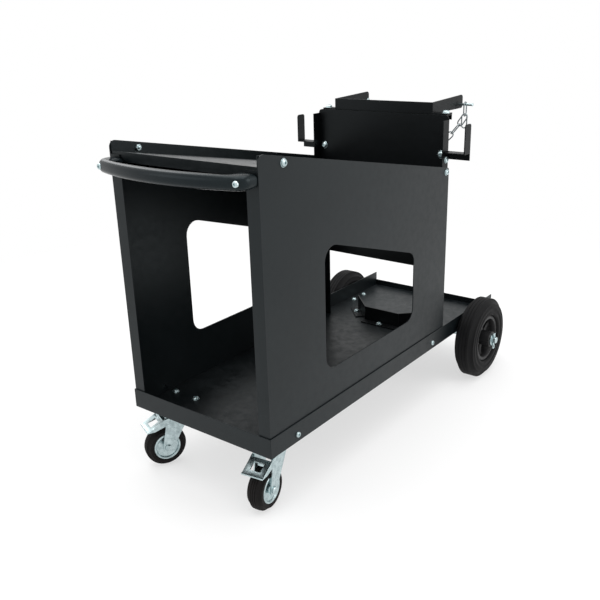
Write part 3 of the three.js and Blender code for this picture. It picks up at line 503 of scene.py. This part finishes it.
# Where the screws sit, in mm of the drawing: across is from the middle, shelf, corner and flange give along
# and up, and plate gives offsets from the king pin
screwPlaces = {
    "rimFace": 178, "rimHeight": 148, "rimAlong": {"front": 77, "rear": 589},
    "panelFace": 175.7, "flangeFace": 173.4, "lipInside": 171.4,
    "shelf": (65, 646), "corner": (632, 539), "flange": (632, 566),
    "handle": (161, -33.6, 627), "seat": (156, 658, 662.4),
    "hookAcross": 158, "hookHeight": 575, "uprightAcross": 160, "uprightHeights": (474, 318),
    "uprightFront": 639.7, "hookBack": 644.5, "flangeBack": 644,
    "bracketAcross": 160, "bracketAlong": (767, 815), "plateAcross": (-29, 29), "plateAlong": (-27, 27),
    "floorTop": 135, "bracketUnder": 130.2, "plateUnder": 129.7,
    "cradleWing": (97.9, 689.6, 137.8), "cradleMiddle": (0, 643, 137.8),
}
frontward, rearward, upward, downward = (0, -1, 0), (0, 1, 0), (0, 0, 1), (0, 0, -1)


def mirrored(side, place):
    return (side * place[0], *place[1:])


# Screws through the sides: tray rim, shelf lip, upright's corner and panel flange.
def sideScrews(sideName, side, spots):
    head, outward = buttonHead(screwLook), (side, 0, 0)
    for end, along in spots["rimAlong"].items():
        rimHead = setOf(buttonHead(bareScrew, washer=False),
                        [(side * spots["rimFace"], along, spots["rimHeight"])], outward)
        makePiece(f"rim_head_{end}_{sideName}", rimHead, "cart_frame", "zincPlate",
                  [f"rim_screw_{end}_{sideName}"])
    face = side * spots["panelFace"]
    heads = setOf(head, [(face, *spots["shelf"]), (face, *spots["corner"])], outward)
    heads += setOf(head, [(side * spots["flangeFace"], *spots["flange"])], outward)
    heads += setOf(hexNut(lipNut), [(side * spots["lipInside"], *spots["shelf"])], (-side, 0, 0))
    makePiece(f"panel_screws_{sideName}", heads, "cart_frame", "zincPlate")


# Screws seen from the front and behind: handle ends, hooks and the upright's flanges, and its seat above.
def uprightScrews(sideName, side, spots):
    handleHead = setOf(buttonHead(bareScrew, washer=False), [mirrored(side, spots["handle"])], frontward)
    makePiece(f"handle_head_{sideName}", handleHead, "cart_frame", "zincPlate", [f"handle_bolt_{sideName}"])
    hookX, flangeX = side * spots["hookAcross"], side * spots["uprightAcross"]
    front, heights = spots["uprightFront"], spots["uprightHeights"]
    bolts = setOf(buttonHead(hookScrew), [(hookX, front, spots["hookHeight"])], frontward)
    bolts += setOf(hexNut(nutLook), [(hookX, spots["hookBack"], spots["hookHeight"])], rearward)
    bolts += setOf(hexNut(nutLook), [(flangeX, spots["flangeBack"], z) for z in heights], rearward)
    bolts += setOf(buttonHead(screwLook), [(flangeX, front, z) for z in heights], frontward)
    makePiece(f"upright_bolts_{sideName}", bolts, "cart_frame", "zincPlate")
    seatScrew = setOf(buttonHead(hookScrew), [mirrored(side, spots["seat"])], upward)
    makePiece(f"seat_screw_{sideName}", seatScrew, "cart_frame", "zincPlate")


# Screws through the tray floor: axle bracket and caster plate with their nuts below, and a cradle wing.
def floorScrews(sideName, side, spots):
    brackets = [(side * spots["bracketAcross"], y) for y in spots["bracketAlong"]]
    x0, y0 = casterPlace
    plates = [(side * (x0 + dx), y0 + dy) for dx in spots["plateAcross"] for dy in spots["plateAlong"]]
    above = [(x, y, spots["floorTop"]) for x, y in brackets + plates]
    below = [(x, y, spots["bracketUnder"]) for x, y in brackets]
    below += [(x, y, spots["plateUnder"]) for x, y in plates]
    head = buttonHead(screwLook)
    makePiece(f"floor_bolts_{sideName}", setOf(head, above, upward), "cart_frame", "zincPlate")
    makePiece(f"floor_nuts_{sideName}", setOf(hexNut(floorNut), below, downward), "cart_frame", "zincPlate")
    wing = setOf(head, [mirrored(side, spots["cradleWing"])], upward)
    makePiece(f"cradle_bolt_{sideName}", wing, "cart_frame", "zincPlate")


for sideName, side in sideNames.items():
    sideScrews(sideName, side, screwPlaces)
    uprightScrews(sideName, side, screwPlaces)
    floorScrews(sideName, side, screwPlaces)
middleBolt = setOf(buttonHead(screwLook), [screwPlaces["cradleMiddle"]], upward)
makePiece("cradle_bolt_middle", middleBolt, "cart_frame", "zincPlate")
print("stage: screws")

# Rear wheels: a smooth wide tyre with sidewall rings, on a spoked moulded rim. Sidewall points are out from
# the seat and in from the side face, groove points in from the tread and out from the middle, in mm
rearWheel = {
    "radius": 100, "half": 25, "place": (204.5, 791, 100), "seat": 58.3, "rimHalf": 20, "rimWall": 10,
    "sidewall": [(2, 1.4), (5, 0.5), (8, 0.5), (9, 1.3), (15, 1.0), (16, 0), (20, 0), (21, 0.9)],
    "shoulder": (12, 0.7), "shoulderEnd": 11,
    "grooves": [(0, 9.0), (1.0, 8.4), (1.0, 7.8), (0, 7.2), (0, 0.9), (1.0, 0.4)],
    "rimGap": 0.5, "lip": (3.5, 2.5), "rimEase": (1.5, 2), "rimCrown": 1.5,
    "hub": 19, "hubEnds": (176.3, 238.3), "hubEase": 2, "bore": 8.4,
    "spokes": 6, "spokeWidth": 13, "spokeDepth": 12, "spokeSink": 3,
}


# A section and its mirror image about the wheel's middle.
def bothHalves(front):
    return np.concatenate([front, front[::-1] * [1, -1]])


# Tyre section: bead, two raised sidewall rings, a shoulder as a quarter ellipse and a grooved tread.
def rearTyreProfile(look):
    r, h, seat = look["radius"], look["half"], look["seat"]
    side = [(seat, look["rimHalf"])] + [(seat + out, h - deep) for out, deep in look["sidewall"]]
    down, deep = look["shoulder"]
    shoulder = roundCorner((r - down, h - deep), (r, h - look["shoulderEnd"]), 9, flip=True)
    tread = [(r - depth, out) for depth, out in look["grooves"]]
    return bothHalves(np.array(side + shoulder + tread))


# Spoke: a rounded-box section, (|cos|^p, |sin|^p) of its angle, carried from hub to ring. Its width grows by
# half of (2u - 1)^4 and its depth from 0.85 by 0.3 of (2u - 1)^2 towards both ends.
def spokeShape(inner, outer, width, depth, angle, power=0.55):
    u = np.linspace(0, 1, 14)[:, None]
    t = np.linspace(0, 2 * np.pi, 24, endpoint=False)[None]
    waist = 1 + 0.5 * (2 * u - 1) ** 4
    cos = np.sign(np.cos(t)) * np.abs(np.cos(t)) ** power
    sin = np.sign(np.sin(t)) * np.abs(np.sin(t)) ** power
    across = width / 2 * waist * cos
    deep = depth / 2 * (0.85 + 0.3 * (2 * u - 1) ** 2) * sin
    reach = (inner + (outer - inner) * u) * np.ones_like(t)
    x = reach * math.cos(angle) - across * math.sin(angle)
    y = reach * math.sin(angle) + across * math.cos(angle)
    return gridShape(np.stack([x, y, deep], 2), False, True)


# Rim: a ring with a rounded lip, a barrel hub and spokes between them.
def rearRimShapes(look, side):
    ringOut, ringIn, h = look["seat"] - look["rimGap"], look["seat"] - look["rimWall"], look["rimHalf"]
    lipIn, lipDown = look["lip"]
    easeOut, easeDown = look["rimEase"]
    lip = roundCorner((ringOut, h - lipDown), (ringOut - lipIn, h), 6, flip=True)
    half = np.array([(ringOut, 0.0), *lip, (ringIn + easeOut, h), (ringIn, h - easeDown),
                     (ringIn - look["rimCrown"], 0.0)])
    ring = spun(np.concatenate([half, half[-2:0:-1] * [1, -1]]), 72, closed=True)
    low, high = sorted(side * (end - look["place"][0]) for end in look["hubEnds"])
    hub, bore, ease = look["hub"], look["bore"], look["hubEase"]
    barrel = [(bore, low), (hub - ease, low), (hub, low + ease), (hub, high - ease), (hub - ease, high),
              (bore, high)]
    shapes = [ring, spun(barrel, 48, closed=True)]
    sink, width, depth = look["spokeSink"], look["spokeWidth"], look["spokeDepth"]
    for i in range(look["spokes"]):
        angle = math.pi / 2 + i * 2 * math.pi / look["spokes"]
        shapes.append(spokeShape(hub - sink, ringIn + sink, width, depth, angle))
    return [placed(shape, mirrored(side, look["place"]), (1, 0, 0)) for shape in shapes]


# Axle ends: washer, split pin and bar. A pin's points are out from its middle and down from the axle, in mm
axleEnd = {
    "radius": 8, "ease": 0.8, "end": 250.1, "washerAt": 238.7, "washerThick": 2.5, "washerRadius": 15.0,
    "washerBore": 8.3, "washerEase": 0.4, "pinX": 243.1, "wire": 1.35,
    "eyeDown": 18.5, "eyeSize": (4.2, 4.4), "eyeOpen": 0.72,
    "longLeg": [(1.4, 12), (1.35, 4), (1.35, -4), (1.6, -10.5), (4.0, -14.5), (8.0, -16.2)],
    "shortLeg": [(-1.4, 12), (-1.35, 4), (-1.35, -4), (-1.6, -10), (-3.2, -13), (-6.0, -14.4)],
}


# Split pin: a round eye, two legs through the axle and their ends bent apart, put in from below.
def splitPinPath(x, look):
    t = np.linspace(-look["eyeOpen"] * np.pi, look["eyeOpen"] * np.pi, 15)
    wide, tall = look["eyeSize"]
    eye = np.stack([wide * np.sin(t), look["eyeDown"] + tall * np.cos(t)], 1)
    flat = np.concatenate([look["shortLeg"][::-1], eye, look["longLeg"]])
    axleY, axleZ = rearWheel["place"][1:]
    return np.stack([np.full(len(flat), x), axleY - flat[:, 0], axleZ - flat[:, 1]], 1)


axlePlace = (0, *rearWheel["place"][1:])
for sideName, side in sideNames.items():
    body = f"rear_wheel_{sideName}"
    tyre = spun(rearTyreProfile(rearWheel), 96, closed=True)
    makePiece(f"rear_tyre_skin_{sideName}", [placed(tyre, mirrored(side, rearWheel["place"]), (1, 0, 0))],
              body, "tyreRubber", [f"rear_tyre_{sideName}"], smooth=50)
    makePiece(f"rear_rim_skin_{sideName}", rearRimShapes(rearWheel, side), body, "rimPlastic",
              [f"rear_rim_{sideName}"])
    edge, thick = axleEnd["washerRadius"], axleEnd["washerThick"]
    bore, ease = axleEnd["washerBore"], axleEnd["washerEase"]
    section = [(bore, 0), (edge - ease, 0), (edge, ease), (edge, thick - ease), (edge - ease, thick),
               (bore, thick)]
    washerPlace = (side * axleEnd["washerAt"], *axlePlace[1:])
    washer = placed(spun(section, 48, closed=True), washerPlace, (side, 0, 0))
    makePiece(f"axle_washer_skin_{sideName}", [washer], "cart_frame", "zincPlate",
              [f"axle_washer_{sideName}"])
    pin = tube(splitPinPath(side * axleEnd["pinX"], axleEnd), axleEnd["wire"], 10, reference=(1, 0, 0))
    makePiece(f"split_pin_skin_{sideName}", [pin], "cart_frame", "zincPlate", [f"split_pin_{sideName}"])
tip, barRadius, ease = axleEnd["end"], axleEnd["radius"], axleEnd["ease"]
axleProfile = [(0, -tip), (barRadius - ease, -tip), (barRadius, ease - tip), (barRadius, tip - ease),
               (barRadius - ease, tip), (0, tip)]
makePiece("rear_axle_skin", [placed(spun(axleProfile, 40), axlePlace, (1, 0, 0))], "cart_frame", "zincPlate",
          ["rear_axle"])
print("stage: rear wheels")

# Casters: pressed fork and pedal with eased edges, turned tyre, hub and axle bolt. Groove points are in from
# the tread and out from the middle, disc points a radius and in from the side face, in mm
caster = {
    "turn": {"left": -24, "right": 8}, "offset": 32, "radius": 43, "half": 16,
    "tyreGap": 0.3, "tyreEase": 1.5, "shoulder": (7, 0.5), "shoulderEnd": 8.5,
    "grooves": [(0.4, 5.2), (1.2, 4.9), (1.2, 4.4), (0.1, 4.1), (0, 0.8), (0.9, 0.4)],
    "hub": 28, "hubHalf": 17.5, "hubEase": 0.8, "bore": 4.4, "boss": 8,
    "disc": [(9, 2.8), (12, 4), (21, 4), (22.6, 3.4), (23.6, 1), (24.6, 0)],
    "forkOut": 20.4, "boltGap": 0.1, "bolt": 4, "boltHead": 7, "boltHeight": 3.9, "boltRim": 1.0,
    "boltCrown": 2,
    "forkEdge": 0.0028, "pedalEdge": 0.00224, "plateEdge": 0.0009,
}
casterNut = nutLook | {"thick": 3.4, "proud": 0.6}


# Tyre section: flat side, elliptic shoulder and a crowned tread with narrow grooves.
def casterTyreProfile(look):
    r, h, inner = look["radius"], look["half"], look["hub"] + look["tyreGap"]
    down, inset = look["shoulder"]
    shoulder = roundCorner((r - down, h), (r - inset, h - look["shoulderEnd"]), 7, flip=True)
    grooves = [(r - depth, out) for depth, out in look["grooves"]]
    ease = look["tyreEase"]
    return bothHalves(np.array([(inner, h - ease), (inner + ease, h), *shoulder, *grooves]))


# Hub section: bore, boss, dished disc and a rolled ring under the tyre.
def casterHubProfile(look):
    h, hub, ease, end, boss = look["half"], look["hub"], look["hubEase"], look["hubHalf"], look["boss"]
    front = [(look["bore"], end), (boss - ease, end), (boss, end - ease)]
    front += [(radius, h - deep) for radius, deep in look["disc"]]
    front += [(hub - ease, h), (hub, h - ease)]
    return bothHalves(np.array(front))


# Axle bolt: a domed head on one side of the fork and a nut on the other.
def casterBoltShapes(look, place, axis):
    seat = look["forkOut"] + look["boltGap"]
    top, head, shank = seat + look["boltHeight"], look["boltHead"], look["bolt"]
    dome = roundCorner((look["boltCrown"], top), (head, seat + look["boltRim"]), 8)
    profile = [(0, -seat), (shank, -seat), (shank, seat), (head, seat), *dome[::-1], (0, top)]
    return [placed(spun(profile, 36), place, axis)] + setOf(hexNut(casterNut), [place - axis * seat], -axis)


for sideName, side in sideNames.items():
    angle = math.radians(caster["turn"][sideName])
    axis = np.array([math.cos(angle), math.sin(angle), 0])
    ahead = caster["offset"] * np.array([math.sin(angle), -math.cos(angle), 0])
    axleAt = np.array([side * casterPlace[0], casterPlace[1], caster["radius"]]) + ahead
    swivel, wheel = f"caster_swivel_{sideName}", f"caster_wheel_{sideName}"
    tyre = placed(spun(casterTyreProfile(caster), 80, closed=True), axleAt, axis)
    hub = placed(spun(casterHubProfile(caster), 64, closed=True), axleAt, axis)
    makePiece(f"caster_tyre_skin_{sideName}", [tyre], wheel, "casterRubber", [f"caster_tyre_{sideName}"],
              smooth=50)
    makePiece(f"caster_hub_skin_{sideName}", [hub], wheel, "zincPlate", [f"caster_hub_{sideName}"])
    makePiece(f"caster_bolt_skin_{sideName}", casterBoltShapes(caster, axleAt, axis), swivel, "zincPlate",
              [f"caster_axle_bolt_{sideName}"])
    softenedCopy(f"caster_fork_{sideName}", swivel, "zincPlate", caster["forkEdge"])
    softenedCopy(f"caster_brake_pedal_{sideName}", f"caster_brake_{sideName}", "zincPlate",
                 caster["pedalEdge"])
    for nodeName in (f"caster_plate_{sideName}", f"caster_king_pin_{sideName}"):
        softenedCopy(nodeName, "cart_frame", "zincPlate", caster["plateEdge"])
print("stage: casters")

# Bottle chain: round wire links on a catenary between two pegs
chain = {
    "wire": 3.0, "length": 34.4, "breadth": 16.0, "slack": 0.9, "endSlack": 1.4, "links": 13,
    "pegY": 785, "pegZ": 668, "peg": 6.0, "wingOut": 130, "hang": 10, "shift": 2, "pegReach": 30,
    "pegHead": 6, "pegHeadEnds": (124.7, 127.2), "pegHeadEase": (0.8, 0.6), "pegNeck": 2.6,
    "pegTip": (3.9, 2.0),
}


# Link path: two half circles joined by straights, lying flat with its length along x.
def linkPath(look):
    bend = (look["breadth"] - look["wire"]) / 2
    straight = (look["length"] - look["breadth"]) / 2
    t = np.linspace(-np.pi / 2, np.pi / 2, 13)
    right = np.stack([straight + bend * np.cos(t), bend * np.sin(t), 0 * t], 1)
    run = np.linspace(straight, -straight, 7)[1:-1]
    top = np.stack([run, 0 * run + bend, 0 * run], 1)
    return np.concatenate([right, top, right * [-1, -1, 1], top * [-1, -1, 1]])


# Scale of the catenary of a given length between points at one height, by halving.
def catenaryScale(halfSpan, length):
    low, high = halfSpan / 20, halfSpan * 20
    for _ in range(60):
        middle = (low + high) / 2
        if 2 * middle * math.sinh(halfSpan / middle) > length:
            low = middle
        else:
            high = middle
    return high


# Peg: a flat head inside the wing, a pin and a rounded knob at its end.
def pegProfile(look):
    tip, radius, head = look["wingOut"] + look["pegReach"], look["peg"] / 2, look["pegHead"]
    inside, outside = look["pegHeadEnds"]
    easeIn, easeAlong = look["pegHeadEase"]
    knob, knobDown = look["pegTip"]
    return [(0, inside), (head - easeIn, inside), (head, inside + easeAlong), (head, outside),
            (radius, outside), (radius, tip - look["pegNeck"]),
            *roundCorner((knob, tip - knobDown), (0, tip), 6, flip=True)]


linkShape = tube(linkPath(chain), chain["wire"] / 2, 12, closed=True)


def makeLink(node, place, along, across):
    along, across = np.array(along, float), np.array(across, float)
    turn = np.stack([along, across, np.cross(along, across)], 1)
    link = turnedShape(linkShape, turn, place)
    makePiece(node + "_wire", [link], "bottle_chain", "chainZinc", [node], smooth=80)


linkReach = (chain["length"] - chain["wire"]) / 2
chainX = chain["wingOut"] + chain["hang"]
endZ = chain["pegZ"] + chain["peg"] / 2 + chain["slack"] - linkReach + chain["wire"] / 2
lowZ = endZ - linkReach
linkStep = 2 * linkReach - chain["wire"] - chain["slack"]
firstRun = linkReach - chain["wire"] - chain["endSlack"]
spanLength = 2 * firstRun + (chain["links"] - 1) * linkStep
sagScale = catenaryScale(chainX, spanLength)
dip = sagScale * math.cosh(chainX / sagScale) - lowZ
for sideName, side in sideNames.items():
    makeLink(f"chain_end_link_{sideName}", (side * chainX, chain["pegY"], endZ), upward, rearward)
    peg = placed(spun(pegProfile(chain), 32), (0, chain["pegY"], chain["pegZ"]), (side, 0, 0))
    makePiece(f"chain_peg_skin_{sideName}", [peg], "cart_frame", "zincPlate", [f"chain_peg_{sideName}"])
for i in range(chain["links"]):
    run = firstRun + i * linkStep - spanLength / 2
    x = sagScale * math.asinh(run / sagScale)
    along = Vector((1, 0, math.sinh(x / sagScale))).normalized()
    across = Vector(rearward).cross(along) if i % 2 == 0 else Vector(rearward)
    place = (x, chain["pegY"] + chain["shift"], sagScale * math.cosh(x / sagScale) - dip)
    makeLink(f"chain_link_{i + 1:02d}", place, along, across)
sparePlace = (chainX, chain["pegY"] - chain["shift"], lowZ - firstRun)
makeLink("chain_spare_link", sparePlace, upward, (1, 0, 0))
print("stage: chain")

# Floor, light and camera
stageLook = {
    "floor": 9.0, "drop": 0.0004, "floorTone": 0.9, "floorRough": 0.9, "worldLight": 0.82,
    "lift": 0.6, "shadowReach": 0.8, "whiteReach": 1.8,
}
floorMesh = bpy.data.meshes.new("floor")
reach, drop = stageLook["floor"], -stageLook["drop"]
floorCorners = [(-reach, -reach, drop), (reach, -reach, drop), (reach, reach, drop), (-reach, reach, drop)]
floorMesh.from_pydata(floorCorners, [], [(0, 1, 2, 3)])
floor = bpy.data.objects.new("floor", floorMesh)
bpy.context.scene.collection.objects.link(floor)


# One for rays from the camera, from a gloss or through a clear piece, and nothing for the rest.
def seenRays(start):
    camera, glossy, through = [start.make("LightPath", out=f"Is {kind} Ray")
                               for kind in ("Camera", "Glossy", "Transmission")]
    return camera + glossy + through


# Floor: pale, and made up to white for the camera and in reflections, the more the farther from the cart.
def paleFloor(look):
    material, start, shader = newFinish("paleFloor")
    tone = look["floorTone"]
    shader.inputs["Base Color"].default_value = (tone, tone, tone, 1)
    shader.inputs["Roughness"].default_value = look["floorRough"]
    shader.inputs["Specular IOR Level"].default_value = 0.0
    white = start.make("Emission", None, {"Color": (1, 1, 1, 1), "Strength": 1.0})
    seen = between(start, seenRays(start), 0.0, 1.0)
    where = start.make("TexCoord", out="Object")
    away = start.make("VectorMath", {"operation": "LENGTH"}, {0: where}, out="Value")
    share = seen * between(start, away, look["shadowReach"], look["whiteReach"], look["lift"], 1.0)
    output = material.node_tree.nodes["Material Output"]
    body = Wire(material.node_tree, shader.outputs[0])
    start.make("MixShader", None, {0: share, 1: body, 2: white}).feed(output, "Surface")
    return material


floorMesh.materials.append(paleFloor(stageLook))

world = bpy.data.worlds.new("studio")
bpy.context.scene.world = world
world.use_nodes = True
studio = Wire(world.node_tree)
background = world.node_tree.nodes["Background"]
background.inputs["Color"].default_value = (1, 1, 1, 1)
between(studio, seenRays(studio), 0.0, 1.0, stageLook["worldLight"], 1.0).feed(background, "Strength")

# Soft lamps: place and aim in metres, size in metres, power in watts
lamps = {
    "topSoftbox": {"at": (0.2, -0.3, 2.9), "to": (0, 0, 0.3), "size": (2.6, 2.6), "power": 52},
    "rightSoftbox": {"at": (2.7, 0.9, 1.3), "to": (0, 0, 0.4), "size": (1.6, 1.8), "power": 24},
    "frontSoftbox": {"at": (-1.4, -2.6, 1.5), "to": (0, 0, 0.4), "size": (1.6, 1.6), "power": 7},
    "leftStrip": {"at": (-1.75, 0.3, 2.0), "to": (0, -0.3, 0.6), "size": (0.9, 1.6), "power": 11},
}
for lampName, look in lamps.items():
    light = bpy.data.lights.new(lampName, "AREA")
    light.shape = "RECTANGLE"
    light.size, light.size_y = look["size"]
    light.energy = look["power"]
    lamp = bpy.data.objects.new(lampName, light)
    bpy.context.scene.collection.objects.link(lamp)
    lamp.location = look["at"]
    lamp.rotation_euler = (Vector(look["to"]) - Vector(look["at"])).to_track_quat("-Z", "Y").to_euler()

# Camera fitted to the photograph: place in metres, turn in degrees, lens and sensor in mm
cameraLook = {
    "at": (0.9422, -1.3065, 0.8535), "yaw": 38.051, "rise": 19.918, "roll": -1.663,
    "lens": 45.69, "sensor": 36,
}
yaw, rise, roll = [math.radians(cameraLook[key]) for key in ("yaw", "rise", "roll")]
right = Vector((math.cos(yaw), math.sin(yaw), 0))
back = Vector((math.sin(yaw) * math.cos(rise), -math.cos(yaw) * math.cos(rise), math.sin(rise)))
up = back.cross(right)
tiltedRight = right * math.cos(roll) + up * math.sin(roll)
tiltedUp = up * math.cos(roll) - right * math.sin(roll)
cameraData = bpy.data.cameras.new("photoCamera")
cameraData.lens = cameraLook["lens"]
cameraData.sensor_width = cameraLook["sensor"]
camera = bpy.data.objects.new("photoCamera", cameraData)
bpy.context.scene.collection.objects.link(camera)
facing = Matrix((tiltedRight, tiltedUp, back)).transposed().to_4x4()
camera.matrix_world = Matrix.Translation(cameraLook["at"]) @ facing
bpy.context.scene.camera = camera
bpy.context.scene.view_settings.view_transform = "Standard"
print("stage: floor, light and camera")
